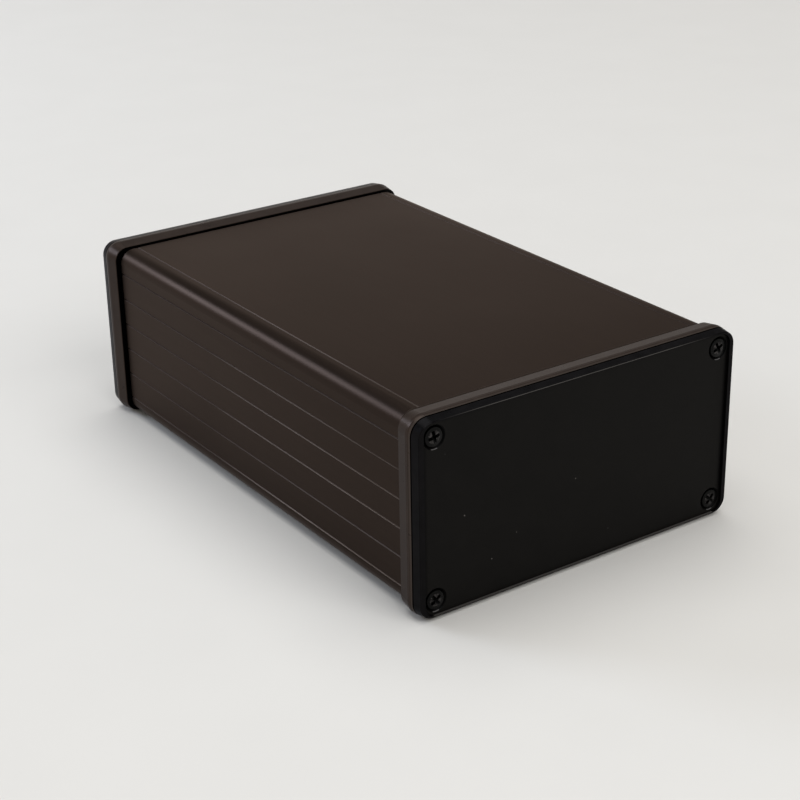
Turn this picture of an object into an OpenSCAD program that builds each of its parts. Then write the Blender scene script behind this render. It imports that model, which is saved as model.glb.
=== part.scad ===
// Extruded aluminium instrument enclosure with moulded end bezels and screwed end panels.
// Frame: width along X, length along Y, height along Z, origin under the middle at the base.
// The front end faces -Y. Both ends are alike.

/* [Body extrusion] */
// length of the extrusion, end to end
body_length = 147; // [60:1:300]
// outer width of the extrusion
body_w = 100.4; // [80:0.1:160]
// outer height of the extrusion
body_h = 52.9; // [42:0.1:90]
// thickness of the top and side walls
wall = 1.8; // [1.4:0.1:2.2]
// radius of the four long edges
corner_r = 4.3; // [3.8:0.1:5]

/* [Fine lines] */
// distance of the lowest side line from the body's lower face
side_line_low = 5.25; // [4.5:0.05:7]
// distance of the highest side line from the body's top face
side_line_top = 7.1; // [5:0.05:9]
// number of fine lines on each side
side_line_n = 6; // [2:1:6]
// distance of the two top lines from the body's sides
top_line_in = 5.85; // [5:0.05:12]
// width of a fine line
line_w = 0.5; // [0.3:0.05:0.8]
// depth of a fine line
line_d = 0.28; // [0.1:0.02:0.4]

/* [Board slots] */
// number of circuit board slots up each side
slot_n = 4; // [1:1:4]
// thickness of the boards that slide in
board_t = 1.6; // [1.2:0.1:2]
// clearance over a board's thickness
board_gap = 0.3; // [0.1:0.05:0.6]
// how far the slot ribs stand in from the side wall
slot_rib = 2.4; // [1.5:0.1:3]
// thickness of one slot rib
slot_rib_t = 1.0; // [0.8:0.1:1.5]

/* [Belly plate] */
// thickness of the slide-in belly plate
plate_t = 1.6; // [1.2:0.1:2]
// clearance of the plate in its grooves
plate_gap = 0.1; // [0.05:0.05:0.3]
// depth of the plate's grooves
groove_d = 1.8; // [1:0.1:2.2]
// thickness of the lips under the plate
lip_t = 1.2; // [1:0.1:1.6]

/* [Bezels] */
// how far a bezel stands proud of the body's sides
proud_side = 1.8; // [1.6:0.05:3]
// how far a bezel stands proud of the body's top
proud_top = 1.05; // [1:0.05:2]
// depth of a bezel, from its back edge to its crest
bezel_d = 8.7; // [8:0.1:12]
// outer corner radius of a bezel
bezel_r = 4.8; // [4.4:0.1:6]
// inset of a bezel's back edge, which gives its band a draft
back_in = 0.56; // [0.2:0.02:0.8]
// bevel of a bezel's back edge
back_bevel = 0.25; // [0.1:0.05:0.4]
// depth where the band is widest
crown_d = 4.7; // [3.5:0.05:5]
// length of the flat land at the crown, which the enclosure stands on
crown_land = 0.8; // [0.4:0.1:1.5]
// depth of the fine groove's near side
line_from = 5.75; // [5.2:0.05:6]
// width of the fine groove
line_gap = 0.38; // [0.3:0.02:0.6]
// inset of the groove's floor
line_in = 0.65; // [0.5:0.05:0.8]
// inset of the outline at the crest
crest_in = 0.61; // [0.5:0.01:0.8]
// bevel at the crest
crest_bevel = 0.25; // [0.1:0.05:0.3]
// gap left between the extrusion's end and a bezel's back edge
shadow_gap = 1.3; // [0.5:0.1:2]
// how far the collar in that gap lies inside the body's outline
collar_in = 0.8; // [0.5:0.1:0.9]
// width of the ring that the panel sits on, from the outline inward
ring_w = 5.2; // [5:0.1:6]
// radius of the bosses around the screws
boss_r = 4.2; // [3.5:0.1:4.5]

/* [End panels] */
// thickness of an end panel
panel_t = 2; // [1.6:0.1:2.5]
// how far the panel's face lies behind the bezel's crest
panel_recess = 0.7; // [0.3:0.05:1]
// rim beside the panel, left and right
rim_side = 2.15; // [1.5:0.05:3]
// rim above and below the panel
rim_top = 1.05; // [1:0.05:2]
// corner radius of the panel
panel_r = 3.2; // [2:0.1:4]
// clearance around the panel in its bezel
panel_gap = 0.1; // [0.05:0.05:0.3]

/* [Screws] */
// distance of the screws from the body's sides
screw_in_side = 3.9; // [3.7:0.05:5]
// distance of the screws from the body's top and lower faces
screw_in_top = 4.1; // [3.8:0.05:5]
// thread diameter of the screws
screw_d = 3; // [2.5:0.1:3.2]
// length of a screw, head included
screw_len = 14; // [12:1:18]
// diameter of a screw's head
head_d = 5.1; // [4.8:0.1:5.6]
// width of the cross recess's arms
recess_w = 0.9; // [0.6:0.05:1]
// diameter of the counterbored countersinks in the panels
sink_d = 6.3; // [6:0.1:6.6]
// depth of a countersink's straight wall
sink_wall = 0.45; // [0.2:0.05:0.5]
// bevel around a countersink's mouth
sink_bevel = 0.2; // [0.1:0.02:0.3]
// clearance hole diameter through panel and bezel
hole_d = 3.4; // [3.2:0.1:3.6]
// clearance of the thread in the extrusion's screw channels, on the radius
thread_gap = 0.05; // [0.02:0.01:0.1]
// outer radius of a screw channel
channel_r = 3; // [2.8:0.1:3.3]

/* [Hidden] */
$fn = 36;
eps = 0.01;
bezel_w = body_w + 2 * proud_side;
bezel_h = body_h + 2 * proud_top;
mid_z = bezel_h / 2;
body_z0 = mid_z - body_h / 2;
body_z1 = mid_z + body_h / 2;
half_w = body_w / 2;
inner_x = half_w - wall;
slot_h = board_t + board_gap;
side_line_z = body_z0 + side_line_low;
side_line_pitch = (body_h - side_line_low - side_line_top) / (side_line_n - 1);
screw_dx = body_w - 2 * screw_in_side;
screw_dz = body_h - 2 * screw_in_top;
lip_in = screw_in_side + channel_r + groove_d + 0.8;
plate_z = body_z0 + lip_t + plate_gap;
plate_w = body_w - 2 * (lip_in - groove_d) - 2 * plate_gap;
groove_h = plate_t + 2 * plate_gap;
panel_face = bezel_d - panel_recess;
open_w = bezel_w - 2 * rim_side;
open_h = bezel_h - 2 * rim_top;
head_drop = 0.2;
head_rim = sink_wall + (sink_d - head_d) / 2 - head_drop;
sink_depth = sink_wall + (sink_d - hole_d) / 2;
dome_h = 0.3;
dome_r = (head_d * head_d / 4 + dome_h * dome_h) / (2 * dome_h);
crest_from = line_from + line_gap;
bore_r = screw_d / 2 + thread_gap;

// places children on the front end: local x, height, and depth outward from the bezel's back edge
module at_front() {
    translate([0, -body_length / 2 - shadow_gap, 0])
        rotate([90, 0, 0])
            children();
}

module at_rear() {
    mirror([0, 1, 0])
        at_front()
            children();
}

// rounded rectangle centred on the body's mid height
module round_rect(w, h, r) {
    translate([0, mid_z]) {
        square([w, h - 2 * r], center = true);
        square([w - 2 * r, h], center = true);
        for (sx = [-1, 1], sy = [-1, 1])
            translate([sx * (w / 2 - r), sy * (h / 2 - r)])
                circle(r);
    }
}

// outer outline of the extrusion
module body_outline() {
    round_rect(body_w, body_h, corner_r);
}

// V line in a side wall at height z
module side_v(z) {
    polygon([[half_w + eps, z - line_w / 2], [half_w + eps, z + line_w / 2], [half_w - line_d, z]]);
}

// V line in the top at distance x from the middle
module top_v(x) {
    polygon([[x - line_w / 2, body_z1 + eps], [x + line_w / 2, body_z1 + eps], [x, body_z1 - line_d]]);
}

// pair of ribs that guide a board, on the right side wall
module board_slot(z) {
    for (s = [-1, 1])
        translate([inner_x - slot_rib, z + s * (slot_h + slot_rib_t) / 2 - slot_rib_t / 2])
            square([slot_rib + eps, slot_rib_t]);
}

// one side of the cavity's fittings: screw channels, slot ribs, plate grooves
module side_fittings() {
    for (sz = [-1, 1])
        translate([screw_dx / 2, mid_z + sz * screw_dz / 2])
            circle(channel_r);
    translate([screw_dx / 2, mid_z + screw_dz / 2])
        square([screw_in_side, screw_in_top]);
    translate([screw_dx / 2, body_z0])
        square([screw_in_side, screw_in_top]);
    for (i = [1 : slot_n])
        board_slot(side_line_z + i * side_line_pitch);
    difference() {
        translate([half_w - lip_in, body_z0 + eps])
            square([lip_in - eps, 2 * lip_t + groove_h]);
        translate([half_w - lip_in - eps, body_z0 + lip_t])
            square([groove_d + eps, groove_h]);
    }
}

module body_section() {
    difference() {
        union() {
            difference() {
                body_outline();
                translate([-inner_x, body_z0 - eps])
                    square([2 * inner_x, body_h - wall + eps]);
            }
            intersection() {
                body_outline();
                for (s = [0, 1])
                    mirror([s, 0])
                        side_fittings();
            }
        }
        for (s = [0, 1])
            mirror([s, 0]) {
                for (i = [0 : side_line_n - 1])
                    side_v(side_line_z + i * side_line_pitch);
                top_v(half_w - top_line_in);
                for (sz = [-1, 1])
                    translate([screw_dx / 2, mid_z + sz * screw_dz / 2])
                        circle(bore_r);
            }
    }
}

module body_extrusion() {
    color([0.20, 0.16, 0.15])
        translate([0, body_length / 2, 0])
            rotate([90, 0, 0])
                linear_extrude(body_length)
                    body_section();
}

module belly_plate() {
    color([0.20, 0.16, 0.15])
        translate([-plate_w / 2, -body_length / 2, plate_z])
            cube([plate_w, body_length, plate_t]);
}

// section of a bezel's band from the middle out to half, its back edge at 0
module band_side(half) {
    polygon([
        [0, 0],
        [half - back_in - back_bevel, 0],
        [half - back_in, back_bevel],
        [half, crown_d - crown_land],
        [half, crown_d],
        [half - shoulder(line_from), line_from],
        [0, line_from]
    ]);
}

// section of the part in front of the fine groove
module crest_side(half) {
    polygon([
        [0, crest_from - eps],
        [half - shoulder(crest_from), crest_from - eps],
        [half - crest_in, bezel_d - crest_bevel],
        [half - crest_in - crest_bevel, bezel_d],
        [0, bezel_d]
    ]);
}

// inset of the straight shoulder that runs from the crown to the crest, to the micrometre
function shoulder(d) = round(1000 * crest_in * (d - crown_d) / (bezel_d - crest_bevel - crown_d)) / 1000;

// both halves of a section
module both_sides() {
    children();
    mirror([1, 0])
        children();
}

// solid block with rounded corners: four revolved corners and two crossing profiles
module band_block() {
    corner_places()
        rotate_extrude()
            band_side(bezel_r);
    across_height()
        both_sides()
            band_side(bezel_w / 2);
    across_width()
        both_sides()
            band_side(bezel_h / 2);
}

module crest_block() {
    corner_places()
        rotate_extrude()
            crest_side(bezel_r);
    across_height()
        both_sides()
            crest_side(bezel_w / 2);
    across_width()
        both_sides()
            crest_side(bezel_h / 2);
}

module corner_places() {
    for (sx = [-1, 1], sz = [-1, 1])
        translate([sx * (bezel_w / 2 - bezel_r), mid_z + sz * (bezel_h / 2 - bezel_r), 0])
            children();
}

// runs a profile across the height, between the corner centres
module across_height() {
    translate([0, bezel_h - bezel_r, 0])
        rotate([90, 0, 0])
            linear_extrude(bezel_h - 2 * bezel_r)
                children();
}

// runs a profile across the width, between the corner centres
module across_width() {
    translate([-bezel_w / 2 + bezel_r, mid_z, 0])
        rotate([90, 0, 90])
            linear_extrude(bezel_w - 2 * bezel_r)
                children();
}

module screw_places() {
    for (sx = [-1, 1], sz = [-1, 1])
        translate([sx * screw_dx / 2, mid_z + sz * screw_dz / 2, 0])
            children();
}

// window through a bezel, with a boss left around each screw
module bezel_window() {
    difference() {
        round_rect(bezel_w - 2 * ring_w, bezel_h - 2 * ring_w, 2);
        for (sx = [-1, 1], sz = [-1, 1])
            translate([sx * screw_dx / 2, mid_z + sz * screw_dz / 2])
                circle(boss_r);
    }
}

module bezel() {
    difference() {
        union() {
            band_block();
            translate([0, 0, line_from - eps])
                linear_extrude(line_gap + 2 * eps)
                    round_rect(bezel_w - 2 * line_in, bezel_h - 2 * line_in, bezel_r - line_in);
            crest_block();
            translate([0, 0, -shadow_gap])
                linear_extrude(shadow_gap + eps)
                    round_rect(body_w - 2 * collar_in, body_h - 2 * collar_in, corner_r - collar_in);
        }
        translate([0, 0, panel_face - panel_t])
            linear_extrude(bezel_d)
                round_rect(open_w, open_h, panel_r);
        translate([0, 0, -shadow_gap - eps])
            linear_extrude(bezel_d + shadow_gap)
                bezel_window();
        screw_places()
            translate([0, 0, -shadow_gap - eps])
                cylinder(d = hole_d, h = bezel_d + shadow_gap);
    }
}

module front_bezel() {
    color([0.09, 0.09, 0.09])
        at_front()
            bezel();
}

module rear_bezel() {
    color([0.09, 0.09, 0.09])
        at_rear()
            bezel();
}

module panel() {
    difference() {
        translate([0, 0, panel_face - panel_t])
            linear_extrude(panel_t)
                round_rect(open_w - 2 * panel_gap, open_h - 2 * panel_gap, panel_r - panel_gap);
        screw_places()
            countersink();
    }
}

// what is cut for one screw: through hole, cone seat, straight wall and bevelled mouth
module countersink() {
    rotate_extrude()
        polygon([
            [0, panel_face - panel_t - 1],
            [hole_d / 2, panel_face - panel_t - 1],
            [hole_d / 2, panel_face - sink_depth],
            [sink_d / 2, panel_face - sink_wall],
            [sink_d / 2, panel_face - sink_bevel],
            [sink_d / 2 + sink_bevel, panel_face],
            [sink_d / 2 + sink_bevel, panel_face + 1],
            [0, panel_face + 1]
        ]);
}

module front_panel() {
    color([0.10, 0.10, 0.10])
        at_front()
            panel();
}

module rear_panel() {
    color([0.10, 0.10, 0.10])
        at_rear()
            panel();
}

// countersunk screw with a domed head and a cross recess, its tip at depth 0 side
module screw() {
    top = panel_face - head_drop;
    cone_h = (head_d - screw_d) / 2;
    seat_gap = 0.02;
    difference() {
        union() {
            intersection() {
                translate([0, 0, top - head_rim - eps])
                    cylinder(d = head_d - 2 * seat_gap, h = head_rim + dome_h + eps);
                translate([0, 0, top + dome_h - dome_r])
                    sphere(dome_r);
            }
            translate([0, 0, top - head_rim - cone_h])
                cylinder(d1 = screw_d - 2 * seat_gap, d2 = head_d - 2 * seat_gap, h = cone_h);
            translate([0, 0, top - screw_len + 0.5])
                cylinder(d = screw_d - 2 * seat_gap, h = screw_len - 0.5 - head_rim - cone_h + eps);
            translate([0, 0, top - screw_len])
                cylinder(d1 = screw_d - 1, d2 = screw_d - 2 * seat_gap, h = 0.5);
        }
        intersection() {
            for (a = [0, 90])
                rotate([0, 0, a])
                    translate([-2, -recess_w / 2, top - 1.2])
                        cube([4, recess_w, 2]);
            translate([0, 0, top - 1.2])
                cylinder(r1 = 0.7, r2 = 2.1, h = 1.9);
        }
    }
}

// screw in its place, its cross turned as it happened to be driven
module end_screw(sx, sz, turn) {
    translate([sx * screw_dx / 2, mid_z + sz * screw_dz / 2, 0])
        rotate([0, 0, turn])
            screw();
}

module screw_front_top_left() {
    color([0.08, 0.08, 0.08])
        at_front()
            end_screw(-1, 1, 12);
}

module screw_front_top_right() {
    color([0.08, 0.08, 0.08])
        at_front()
            end_screw(1, 1, 25);
}

module screw_front_bottom_left() {
    color([0.08, 0.08, 0.08])
        at_front()
            end_screw(-1, -1, 35);
}

module screw_front_bottom_right() {
    color([0.08, 0.08, 0.08])
        at_front()
            end_screw(1, -1, 48);
}

module screw_rear_top_left() {
    color([0.08, 0.08, 0.08])
        at_rear()
            end_screw(-1, 1, 20);
}

module screw_rear_top_right() {
    color([0.08, 0.08, 0.08])
        at_rear()
            end_screw(1, 1, 64);
}

module screw_rear_bottom_left() {
    color([0.08, 0.08, 0.08])
        at_rear()
            end_screw(-1, -1, 5);
}

module screw_rear_bottom_right() {
    color([0.08, 0.08, 0.08])
        at_rear()
            end_screw(1, -1, 40);
}

body_extrusion();
belly_plate();
front_bezel();
rear_bezel();
front_panel();
rear_panel();
screw_front_top_left();
screw_front_top_right();
screw_front_bottom_left();
screw_front_bottom_right();
screw_rear_top_left();
screw_rear_top_right();
screw_rear_bottom_left();
screw_rear_bottom_right();
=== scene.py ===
import math

import bpy
from mathutils import Matrix, Vector


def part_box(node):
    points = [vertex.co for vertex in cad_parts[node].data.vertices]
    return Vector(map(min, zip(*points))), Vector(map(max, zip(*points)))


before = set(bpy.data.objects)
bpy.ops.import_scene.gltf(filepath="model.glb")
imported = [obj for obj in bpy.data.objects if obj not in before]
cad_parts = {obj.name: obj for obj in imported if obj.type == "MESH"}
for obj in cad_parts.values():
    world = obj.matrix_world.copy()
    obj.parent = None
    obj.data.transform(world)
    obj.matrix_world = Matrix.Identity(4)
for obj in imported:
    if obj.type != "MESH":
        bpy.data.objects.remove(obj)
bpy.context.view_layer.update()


# ---- Camera ---------------------------------------------------------------------------------
# It stands to the front left of the enclosure and looks down on the top, the long left side
# and the front end. It leans a little to one side, as a camera held by hand does.

CAMERA_PLACE = (-0.27670, -0.40625, 0.23627)
AZIMUTH = math.radians(-34.311)
ELEVATION = math.radians(23.968)
LEAN = math.radians(-1.072)
SENSOR_MM = 36.0
LENS_MM = 82.647
NEAREST = 0.01

camera_data = bpy.data.cameras.new("camera")
camera = bpy.data.objects.new("camera", camera_data)
bpy.context.scene.collection.objects.link(camera)
camera_data.sensor_width = SENSOR_MM
camera_data.lens = LENS_MM
camera_data.clip_start = NEAREST
camera.location = CAMERA_PLACE
turn = Matrix.Rotation(AZIMUTH, 3, "Z") @ Matrix.Rotation(math.pi / 2 - ELEVATION, 3, "X")
camera.rotation_euler = (turn @ Matrix.Rotation(LEAN, 3, "Z")).to_euler()
bpy.context.scene.camera = camera


# ---- Body extrusion -------------------------------------------------------------------------
# Aluminium extruded in one length, blasted, anodised a dark brown and cut off. Six fine lines
# run along each side and two along the top. The grooves of the side lines and of the left line
# on the top carry painted shade, and a painted highlight that is strongest towards the front
# end, on the side lines most of all on their lower flanks. The end faces carry painted light.

def new_finish(name, roughness, metallic=0.0, specular=0.5):
    material = bpy.data.materials.new(name)
    material.use_nodes = True
    tree = material.node_tree
    shader = tree.nodes["Principled BSDF"]
    shader.inputs["Roughness"].default_value = roughness
    shader.inputs["Metallic"].default_value = metallic
    shader.inputs["Specular IOR Level"].default_value = specular
    return material, tree, shader


def object_place(tree):
    return tree.nodes.new("ShaderNodeTexCoord").outputs["Object"]


def split_place(tree, place):
    split = tree.nodes.new("ShaderNodeSeparateXYZ")
    tree.links.new(place, split.inputs["Vector"])
    return split.outputs["X"], split.outputs["Y"], split.outputs["Z"]


def worked_out(tree, operation, first, second=None, third=None):
    step = tree.nodes.new("ShaderNodeMath")
    step.operation = operation
    for socket, value in zip(step.inputs, (first, second, third)):
        if value is None:
            continue
        if isinstance(value, (int, float)):
            socket.default_value = value
        else:
            tree.links.new(value, socket)
    return step.outputs["Value"]


def off_middle(tree, place):
    return worked_out(tree, "ABSOLUTE", place)


def beyond(tree, place, limit):
    return worked_out(tree, "GREATER_THAN", place, limit)


def short_of(tree, place, limit):
    return worked_out(tree, "LESS_THAN", place, limit)


def close_to(tree, place, middle, reach):
    return worked_out(tree, "COMPARE", place, middle, reach)


def overlap(tree, area, *others):
    for other in others:
        area = worked_out(tree, "MULTIPLY", area, other)
    return area


def either(tree, first, second):
    return worked_out(tree, "MAXIMUM", first, second)


def held_back(tree, area, share=1.0):
    return worked_out(tree, "MULTIPLY_ADD", area, -share, 1.0)


def grain_of(tree, scale, detail, stretch=(1.0, 1.0, 1.0)):
    mapping = tree.nodes.new("ShaderNodeMapping")
    mapping.inputs["Scale"].default_value = stretch
    noise = tree.nodes.new("ShaderNodeTexNoise")
    noise.inputs["Scale"].default_value = scale
    noise.inputs["Detail"].default_value = detail
    tree.links.new(object_place(tree), mapping.inputs["Vector"])
    tree.links.new(mapping.outputs["Vector"], noise.inputs["Vector"])
    return noise.outputs["Fac"]


def spread(tree, factor, low, high, start=0.3, end=0.7):
    span = tree.nodes.new("ShaderNodeMapRange")
    span.inputs["From Min"].default_value = start
    span.inputs["From Max"].default_value = end
    span.inputs["To Min"].default_value = low
    span.inputs["To Max"].default_value = high
    tree.links.new(factor, span.inputs["Value"])
    return span.outputs["Result"]


def shades(tree, factor, low, high, start=0.3, end=0.7):
    ramp = tree.nodes.new("ShaderNodeValToRGB")
    ramp.color_ramp.elements[0].position = start
    ramp.color_ramp.elements[0].color = (*low, 1.0)
    ramp.color_ramp.elements[1].position = end
    ramp.color_ramp.elements[1].color = (*high, 1.0)
    tree.links.new(factor, ramp.inputs["Fac"])
    return ramp.outputs["Color"]


def color_mix(tree, factor, under, over):
    mix = tree.nodes.new("ShaderNodeMix")
    mix.data_type = "RGBA"
    tree.links.new(factor, mix.inputs[0])
    for socket, value in ((mix.inputs[6], under), (mix.inputs[7], over)):
        if isinstance(value, tuple):
            socket.default_value = (*value, 1.0)
        else:
            tree.links.new(value, socket)
    return mix.outputs[2]


def raised(tree, shader, height, strength, distance):
    bump = tree.nodes.new("ShaderNodeBump")
    bump.inputs["Strength"].default_value = strength
    bump.inputs["Distance"].default_value = distance
    tree.links.new(height, bump.inputs["Height"])
    tree.links.new(bump.outputs["Normal"], shader.inputs["Normal"])


def finish_node(name, material):
    for slot in bpy.data.objects[name].material_slots:
        slot.material = material


body_low, body_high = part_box("body_extrusion")
LINES_PER_SIDE = 6
LOWEST_LINE = body_low[2] + 0.00525
LINE_STEP = 0.00811
TOP_LINE_IN = 0.00585
LINE_HALF = 0.00025
FACE_DEPTH = 0.0006
LINES_END_UNDER_TOP = 0.0050
CUT_END_DEPTH = 0.00004
FADE_START = body_low[1] + 0.010
LINE_HIGHLIGHT_ENDS = 0.020
GROOVE_HIGHLIGHT_ENDS = 0.030
LINE_HIGHLIGHT_HELD_BACK = 0.8
GROOVE_HIGHLIGHT_HELD_BACK = 0.9
BROWN = ((0.0228, 0.0163, 0.0133), (0.0254, 0.0181, 0.0147))
BROWN_AT_A_SLANT = (0.755, 0.70, 0.675)
# Painted shade in the grooves.
GROOVE_PAINTED_SHADE = (0.0088, 0.0060, 0.0048)
# Painted highlight in the grooves and on the lower flanks of the lines.
GROOVE_PAINTED_HIGHLIGHT = (0.040, 0.030, 0.025)
LINE_PAINTED_HIGHLIGHT = (0.105, 0.083, 0.070)
# Painted light on the end faces.
END_FACE_PAINTED_LIGHT = (0.060, 0.046, 0.039)

anodised, tree, shader = new_finish("brown_anodising", 0.36, metallic=1.0, specular=0.0)
shader.inputs["Specular Tint"].default_value = (*BROWN_AT_A_SLANT, 1.0)
streaks = grain_of(tree, scale=900.0, detail=5.0, stretch=(1.0, 0.02, 1.0))
cloud = grain_of(tree, scale=16.0, detail=3.0)
blasting = grain_of(tree, scale=4200.0, detail=3.0)
line_highlight_patches = grain_of(tree, scale=60.0, detail=3.0, stretch=(1.0, 0.15, 1.6))

across, along, up = split_place(tree, object_place(tree))
out_x = off_middle(tree, across)
on_side = beyond(tree, out_x, body_high[0] - FACE_DEPTH)
on_top = beyond(tree, up, body_high[2] - FACE_DEPTH)
under_top = short_of(tree, up, body_high[2] - LINES_END_UNDER_TOP)
left_half = short_of(tree, across, 0.0)

# The phase runs from 0 to 1 over each line step, and is 0.5 in the middle of a side line.
steps_up = worked_out(tree, "DIVIDE", worked_out(tree, "SUBTRACT", up, LOWEST_LINE), LINE_STEP)
line_phase = worked_out(tree, "FRACT", worked_out(tree, "ADD", steps_up, 0.5))
phase_down = worked_out(tree, "SUBTRACT", 0.5, line_phase)
below_line = worked_out(tree, "MULTIPLY", phase_down, LINE_STEP)
lower_flank = close_to(tree, below_line, 0.5 * LINE_HALF, 0.55 * LINE_HALF)
side_flank = overlap(tree, lower_flank, on_side, under_top)
near_side_line = close_to(tree, line_phase, 0.5, 0.85 * LINE_HALF / LINE_STEP)
side_groove = overlap(tree, near_side_line, on_side, under_top)
near_top_line = close_to(tree, out_x, body_high[0] - TOP_LINE_IN, 0.75 * LINE_HALF)
top_groove = overlap(tree, near_top_line, on_top, left_half)
in_groove = either(tree, side_groove, top_groove)

# The painted highlight is much weaker on the uppermost line and the second from the bottom.
uppermost = beyond(tree, up, LOWEST_LINE + (LINES_PER_SIDE - 1.5) * LINE_STEP)
second_line = close_to(tree, up, LOWEST_LINE + LINE_STEP, 0.5 * LINE_STEP)
fainter = overlap(tree, either(tree, uppermost, second_line), side_flank)
# Painted highlight on the lower flanks of the side lines and in the left top line, strongest
# at the front end.
line_highlight_share = overlap(
    tree,
    spread(tree, line_highlight_patches, low=0.45, high=1.0, start=0.35, end=0.62),
    held_back(tree, fainter, LINE_HIGHLIGHT_HELD_BACK),
    spread(tree, along, 1.0, 0.0, FADE_START, LINE_HIGHLIGHT_ENDS),
)
painted_line_highlight = overlap(tree, either(tree, side_flank, top_groove), line_highlight_share)
# Painted highlight inside the grooves, fading towards the rear.
groove_highlight_share = overlap(
    tree,
    spread(tree, along, 1.0, 0.05, FADE_START, GROOVE_HIGHLIGHT_ENDS),
    held_back(tree, fainter, GROOVE_HIGHLIGHT_HELD_BACK),
)
painted_groove_highlight = overlap(tree, in_groove, groove_highlight_share)
# Painted light on the end faces of the extrusion.
cut_end = beyond(tree, off_middle(tree, along), body_high[1] - CUT_END_DEPTH)

# Painted shade in the grooves.
color = color_mix(tree, in_groove, shades(tree, streaks, *BROWN), GROOVE_PAINTED_SHADE)
# Painted highlight in the grooves and on the lower flanks of the lines.
color = color_mix(tree, painted_groove_highlight, color, GROOVE_PAINTED_HIGHLIGHT)
color = color_mix(tree, painted_line_highlight, color, LINE_PAINTED_HIGHLIGHT)
# Painted light on the end faces.
color = color_mix(tree, cut_end, color, END_FACE_PAINTED_LIGHT)
metal_share = held_back(tree, either(tree, painted_groove_highlight, cut_end))
tree.links.new(color, shader.inputs["Base Color"])
tree.links.new(metal_share, shader.inputs["Metallic"])
tree.links.new(spread(tree, cloud, low=0.33, high=0.39), shader.inputs["Roughness"])
raised(tree, shader, blasting, strength=0.10, distance=0.00004)
finish_node("body_extrusion", anodised)


# ---- Belly plate ----------------------------------------------------------------------------
# A flat aluminium plate in the same anodising. It slides into grooves along the bottom edges
# and is held between the two bezels.

finish_node("belly_plate", anodised)


# ---- End bezels -----------------------------------------------------------------------------
# Black plastic frames, moulded in one piece each. A fine groove runs round between the outer
# band, which is a little warm, and the darker nose in front of it. The fine groove and the
# back edge carry painted shade, and the top crest edge and the upward face of the bottom lip a
# painted highlight. The screws clamp them on the ends of the extrusion.

bezel_low, bezel_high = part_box("front_bezel")
CREST = -bezel_low[1]
GROOVE_IN = 0.00297
GROOVE_WIDTH = 0.00040
BACK_EDGE = CREST - 0.0087
BACK_EDGE_DEPTH = 0.0001
CROWN = BACK_EDGE + 0.0051
# Where the painted highlight along the top crest edge lies.
CREST_HIGHLIGHT_LINE = CREST - 0.00010
CREST_HIGHLIGHT_HALF = 0.00007
CREST_HIGHLIGHT_ABOVE = bezel_high[2] - 0.0022
CORNER_START, CORNER_END = 0.030, 0.046
LIP_HEIGHT = 0.00105
LIP_HALF = 0.00004
BAND_GLOSS = 0.45
NOSE_EXTRA_GLOSS = 0.20
BAND = ((0.0300, 0.0212, 0.0170), (0.0366, 0.0260, 0.0208))
BAND_PAST_CROWN = (0.047, 0.036, 0.030)
NOSE = ((0.0050, 0.0047, 0.0050), (0.0076, 0.0072, 0.0077))
# Painted shade in the fine groove.
FINE_GROOVE_PAINTED_SHADE = (0.0012, 0.0010, 0.0009)
# Painted shade at the back edge.
BACK_EDGE_PAINTED_SHADE = (0.0006, 0.0005, 0.0005)
# Painted highlight on the top crest edge and the bottom lip.
PLASTIC_PAINTED_HIGHLIGHT = (0.052, 0.049, 0.046)
PLASTIC_SHEEN = (0.50, 0.50, 0.52)

moulded, tree, shader = new_finish("moulded_plastic", 0.30, specular=0.10)
shader.inputs["Specular Tint"].default_value = (*PLASTIC_SHEEN, 1.0)
texture = grain_of(tree, scale=3200.0, detail=4.0)
mottle = grain_of(tree, scale=240.0, detail=3.0)

across, along, up = split_place(tree, object_place(tree))
out_x = off_middle(tree, across)
outward = off_middle(tree, along)
nose = beyond(tree, outward, CREST - GROOVE_IN)
past_crown = beyond(tree, outward, CROWN)
# Painted shade along the back edge, next to the body.
back = short_of(tree, outward, BACK_EDGE + BACK_EDGE_DEPTH)
groove_middle = CREST - GROOVE_IN + GROOVE_WIDTH / 2.0
# Painted shade in the fine groove.
fine_groove = close_to(tree, outward, groove_middle, GROOVE_WIDTH / 2.0)
# Painted highlight along the top crest edge and on the upward face of the bottom lip.
painted_crest_highlight = overlap(
    tree,
    close_to(tree, outward, CREST_HIGHLIGHT_LINE, CREST_HIGHLIGHT_HALF),
    beyond(tree, up, CREST_HIGHLIGHT_ABOVE),
    spread(tree, out_x, 1.0, 0.0, CORNER_START, CORNER_END),
)
painted_lip_highlight = overlap(tree, nose, close_to(tree, up, LIP_HEIGHT, LIP_HALF))
painted_edge_highlight = either(tree, painted_crest_highlight, painted_lip_highlight)

color = color_mix(tree, past_crown, shades(tree, mottle, *BAND), BAND_PAST_CROWN)
color = color_mix(tree, nose, color, shades(tree, mottle, *NOSE))
# Painted shade in the fine groove.
color = color_mix(tree, fine_groove, color, FINE_GROOVE_PAINTED_SHADE)
# Painted shade at the back edge.
color = color_mix(tree, back, color, BACK_EDGE_PAINTED_SHADE)
# Painted highlight on the crest edge and the lip.
color = color_mix(tree, painted_edge_highlight, color, PLASTIC_PAINTED_HIGHLIGHT)
gloss = overlap(
    tree,
    worked_out(tree, "MULTIPLY_ADD", nose, NOSE_EXTRA_GLOSS, BAND_GLOSS),
    held_back(tree, painted_edge_highlight),
)
tree.links.new(color, shader.inputs["Base Color"])
tree.links.new(gloss, shader.inputs["Metallic"])
tree.links.new(spread(tree, mottle, low=0.27, high=0.33), shader.inputs["Roughness"])
raised(tree, shader, texture, strength=0.10, distance=0.00005)
for name in ("front_bezel", "rear_bezel"):
    finish_node(name, moulded)


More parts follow.
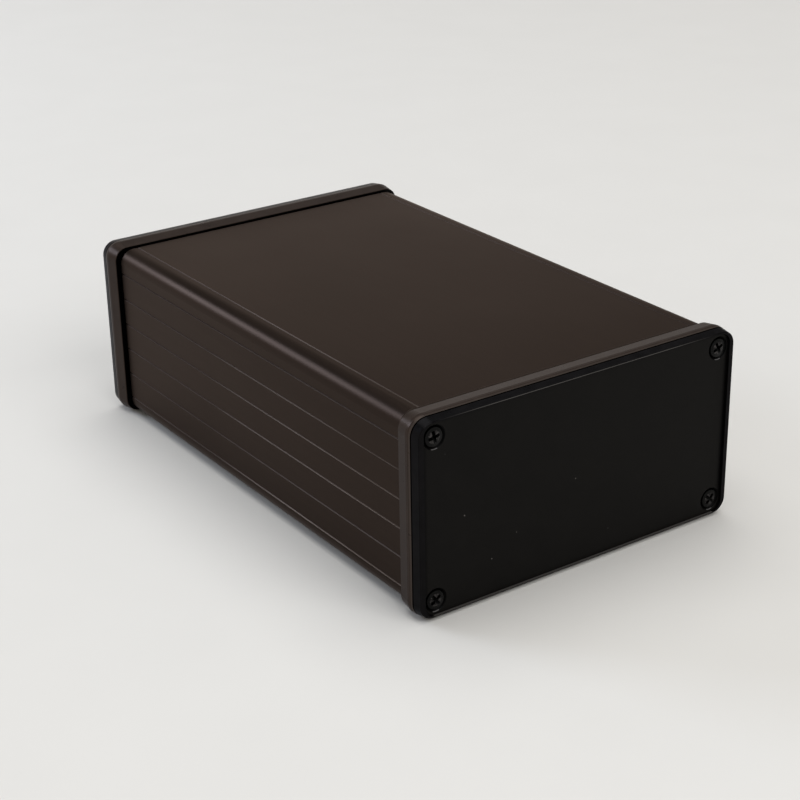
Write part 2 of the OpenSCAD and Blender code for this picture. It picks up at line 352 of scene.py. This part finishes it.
# ---- End panels -----------------------------------------------------------------------------
# Flat aluminium plates finished matt black and let into the bezels. They carry painted shade
# along their left and right edges and in the countersinks, and a painted highlight crescent in
# each countersink under its screw head. A few specks of dust lie on the plates.

panel_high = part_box("front_panel")[1]
screw_low, screw_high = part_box("screw_front_top_right")
PANEL_FACE = CREST - 0.0007
UPPER_SCREW = body_high[2] - 0.0041
LOWER_SCREW = body_low[2] + 0.0041
SCREW_OUT = abs(screw_low[0] + screw_high[0]) / 2.0
MOUTH_STARTS, MOUTH_ENDS = 0.00003, 0.00019
CRESCENT_DOWN = 0.00305
CRESCENT_HALF = 0.00033
CRESCENT_REACH = 0.0009
DUST_SPACING = 1.0 / 160.0
SPECK_SIZE = 0.030
EDGE_START, EDGE_END = panel_high[0] - 0.0013, panel_high[0] - 0.0006
BLACK = ((0.0030, 0.0027, 0.0024), (0.0044, 0.0040, 0.0036))
# Painted shade along the side edges.
EDGE_PAINTED_SHADE = (0.0006, 0.0005, 0.0005)
DUST = (0.10, 0.095, 0.09)
# Painted shade in the countersinks.
COUNTERSINK_PAINTED_SHADE = (0.0009, 0.0009, 0.0009)
# Painted highlight crescents in the countersinks.
CRESCENT_PAINTED_HIGHLIGHT = (0.090, 0.087, 0.088)

matt_black, tree, shader = new_finish("matt_black", 0.5, specular=0.065)
mottle = grain_of(tree, scale=120.0, detail=5.0)
powder = grain_of(tree, scale=4000.0, detail=3.0)
dust = tree.nodes.new("ShaderNodeTexVoronoi")
dust.inputs["Scale"].default_value = 1.0 / DUST_SPACING
tree.links.new(object_place(tree), dust.inputs["Vector"])
speck = short_of(tree, dust.outputs["Distance"], SPECK_SIZE)

across, along, up = split_place(tree, object_place(tree))
out_x = off_middle(tree, across)
# Painted shade along the left and right edges, next to the bezel.
at_edge = spread(tree, out_x, 0.0, 1.0, EDGE_START, EDGE_END)
depth = worked_out(tree, "SUBTRACT", PANEL_FACE, off_middle(tree, along))
# Painted shade in the countersinks.
sunk = beyond(tree, depth, MOUTH_STARTS)
mouth = overlap(tree, sunk, short_of(tree, depth, MOUTH_ENDS))
# Painted highlight as a crescent low in each countersink, under its screw head.
below_upper = close_to(tree, up, UPPER_SCREW - CRESCENT_DOWN, CRESCENT_HALF)
below_lower = close_to(tree, up, LOWER_SCREW - CRESCENT_DOWN, CRESCENT_HALF)
under_head = close_to(tree, out_x, SCREW_OUT, CRESCENT_REACH)
painted_crescent = overlap(tree, mouth, under_head, either(tree, below_upper, below_lower))

# Painted shade along the left and right edges.
color = color_mix(tree, at_edge, shades(tree, mottle, *BLACK), EDGE_PAINTED_SHADE)
color = color_mix(tree, speck, color, DUST)
# Painted shade in the countersinks.
color = color_mix(tree, sunk, color, COUNTERSINK_PAINTED_SHADE)
# Painted highlight crescents.
color = color_mix(tree, painted_crescent, color, CRESCENT_PAINTED_HIGHLIGHT)
tree.links.new(color, shader.inputs["Base Color"])
tree.links.new(spread(tree, mottle, low=0.44, high=0.54), shader.inputs["Roughness"])
raised(tree, shader, powder, strength=0.08, distance=0.00004)
for name in ("front_panel", "rear_panel"):
    finish_node(name, matt_black)


# ---- Screws ---------------------------------------------------------------------------------
# Black plated countersunk screws with cross recesses, four at each end, with painted shade in
# the recesses. They pass through the panel and the bezel and cut their threads in the channels
# of the extrusion.

HEAD_FACE = abs(screw_low[1])
RECESS_STARTS = 0.00012
PLATING = ((0.006, 0.0055, 0.0055), (0.050, 0.046, 0.046))
# Painted shade in the cross recesses.
RECESS_PAINTED_SHADE = (0.002, 0.002, 0.002)

plated, tree, shader = new_finish("black_plating", 0.3, metallic=0.7, specular=0.25)
wear = grain_of(tree, scale=1600.0, detail=4.0)
along = split_place(tree, object_place(tree))[1]
# Painted shade in the cross recesses.
recess = short_of(tree, off_middle(tree, along), HEAD_FACE - RECESS_STARTS)
worn_plating = shades(tree, wear, *PLATING, start=0.42, end=0.66)
color = color_mix(tree, recess, worn_plating, RECESS_PAINTED_SHADE)
tree.links.new(color, shader.inputs["Base Color"])
tree.links.new(spread(tree, wear, low=0.24, high=0.38), shader.inputs["Roughness"])
raised(tree, shader, wear, strength=0.15, distance=0.00004)
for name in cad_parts:
    if name.startswith("screw"):
        finish_node(name, plated)


# ---- Floor, surround and light --------------------------------------------------------------
# Pale paper under the enclosure, and a surround that is pale near the floor and dim above and
# to the right. The light is a wide ceiling overhead, a soft fill from the front, and a small
# cool light behind on the left.

FLOOR_SIZE = 6.0
UNDER_THE_FEET = -0.0002
PAPER = ((0.650, 0.640, 0.615), (0.660, 0.650, 0.625))

bpy.ops.object.select_all(action="DESELECT")
bpy.ops.mesh.primitive_plane_add(size=FLOOR_SIZE, location=(0.0, 0.0, UNDER_THE_FEET))
floor = bpy.context.object
floor.name = "floor"
paper, tree, shader = new_finish("paper", 0.9, specular=0.2)
fibre = grain_of(tree, scale=30.0, detail=4.0)
tree.links.new(shades(tree, fibre, *PAPER), shader.inputs["Base Color"])
floor.data.materials.append(paper)

PALE_LOW = (0.825, 0.765, 0.705)
DIM_ABOVE = (0.15, 0.15, 0.15)
DIM_RIGHT = (0.24, 0.215, 0.19)

world = bpy.data.worlds.new("surround")
bpy.context.scene.world = world
world.use_nodes = True
tree = world.node_tree
background = tree.nodes["Background"]
direction = tree.nodes.new("ShaderNodeTexCoord").outputs["Generated"]
to_right, _, to_sky = split_place(tree, direction)
surround = shades(tree, to_sky, PALE_LOW, DIM_ABOVE, start=0.26, end=0.58)
dimmed = spread(tree, to_right, low=0.0, high=1.0, start=0.58, end=0.84)
surround = color_mix(tree, dimmed, surround, DIM_RIGHT)
tree.links.new(surround, background.inputs["Color"])
background.inputs["Strength"].default_value = 1.0


def soft_light(name, location, target, size, energy, color=(1.0, 1.0, 1.0)):
    data = bpy.data.lights.new(name, "AREA")
    data.shape = "RECTANGLE"
    data.size, data.size_y = size
    data.energy = energy
    data.color = color
    light = bpy.data.objects.new(name, data)
    bpy.context.scene.collection.objects.link(light)
    light.location = location
    aim = Vector(target) - Vector(location)
    light.rotation_mode = "QUATERNION"
    light.rotation_quaternion = aim.to_track_quat("-Z", "Y")


ceiling_data = bpy.data.lights.new("ceiling", "SUN")
ceiling_data.energy = 1.95
ceiling_data.angle = math.radians(66.0)
ceiling = bpy.data.objects.new("ceiling", ceiling_data)
bpy.context.scene.collection.objects.link(ceiling)
ceiling.rotation_euler = (math.radians(-9.0), math.radians(4.0), 0.0)
soft_light(
    "front_fill",
    location=(0.10, -1.25, 1.10),
    target=(0.0, 0.0, 0.0),
    size=(1.2, 0.8),
    energy=11.6,
)
soft_light(
    "behind_left",
    location=(-0.66, 1.00, 0.58),
    target=(0.0, 0.0, 0.03),
    size=(0.5, 0.40),
    energy=5.0,
    color=(0.84, 0.95, 1.14),
)

bpy.context.scene.view_settings.view_transform = "Standard"
